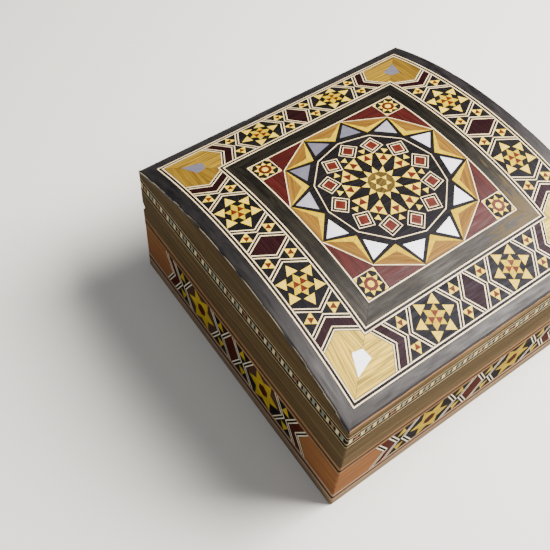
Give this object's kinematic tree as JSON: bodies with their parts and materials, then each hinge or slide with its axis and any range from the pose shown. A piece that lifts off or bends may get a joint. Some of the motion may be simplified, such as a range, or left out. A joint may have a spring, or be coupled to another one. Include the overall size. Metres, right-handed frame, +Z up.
{
  "type": "keepsake box",
  "caption": "Square wooden keepsake box with a barrel lid hinged at the back, faced with star marquetry in walnut, dark and pale woods and mother-of-pearl, lined with velvet.",
  "frame": {"origin": "middle of the underside, on the table", "axes": "+Z up, +X along the straight eaves, front at -Y, hinges at +Y"},
  "size_m": [0.15, 0.1474, 0.0869],
  "materials": {
    "carcass_wood": "planed softwood, bare",
    "walnut": "walnut facing, satin varnish",
    "bone_stringing": "white and dark lines glued up and sliced, satin",
    "ebony_stain": "black-stained pearwood, satin varnish",
    "apricot_wood": "apricot wood, satin varnish",
    "lemon_wood": "lemonwood, satin varnish",
    "maroon_wood": "stained beech, satin varnish",
    "red_wood": "red-stained wood in white lines, satin varnish",
    "mother_of_pearl": "polished shell",
    "velvet": "cotton velvet on card",
    "brass": "pressed brass"
  },
  "bodies": {
    "body": {"bottom_board": "carcass_wood", "front_wall": "carcass_wood", "back_wall": "carcass_wood", "left_wall": "carcass_wood", "right_wall": "carcass_wood", "foot_strips": "walnut", "body_band_front": "walnut", "body_band_back": "walnut", "body_band_left": "walnut", "body_band_right": "walnut", "lower_stringing": "bone_stringing", "upper_stringing": "bone_stringing", "mosaic_front": "ebony_stain", "mosaic_back": "ebony_stain", "mosaic_left": "ebony_stain", "mosaic_right": "ebony_stain", "wall_end_blocks": "apricot_wood", "wall_star_points": "lemon_wood", "wall_maroon": "maroon_wood", "floor_lining": "velvet", "wall_linings": "velvet", "hinge_body_leaf_left": "brass", "hinge_body_leaf_right": "brass", "hinge_pins": "brass"},
    "lid": {"lid_front_rail": "carcass_wood", "lid_back_rail": "carcass_wood", "lid_left_gable": "carcass_wood", "lid_right_gable": "carcass_wood", "lid_top_board": "carcass_wood", "lid_bands": "walnut", "eave_strip_front": "walnut", "eave_strip_back": "walnut", "gable_veneer_left": "walnut", "gable_veneer_right": "walnut", "lid_edge_front": "walnut", "lid_edge_back": "walnut", "lid_edge_left": "walnut", "lid_edge_right": "walnut", "rope_stringing": "bone_stringing", "outer_stringing": "bone_stringing", "inner_stringing": "bone_stringing", "panel_line": "bone_stringing", "border_ground": "ebony_stain", "star_panel": "ebony_stain", "inner_frame": "ebony_stain", "corner_blocks": "apricot_wood", "star_point_hearts": "apricot_wood", "border_star_points": "lemon_wood", "star_point_arms": "lemon_wood", "border_maroon": "maroon_wood", "bordeaux_triangles": "maroon_wood", "ring_squares": "red_wood", "corner_kites": "mother_of_pearl", "pearl_triangles": "mother_of_pearl", "lid_lining": "velvet", "hinge_lid_leaf_left": "brass", "hinge_lid_leaf_right": "brass"}
  },
  "joints": [
    {"name": "lid_hinge", "type": "hinge", "parent": "body", "child": "lid", "pos_m": [0, 0.0711, 0.0476], "axis": [-1, 0, 0], "range_deg": [0, 104]}
  ]
}
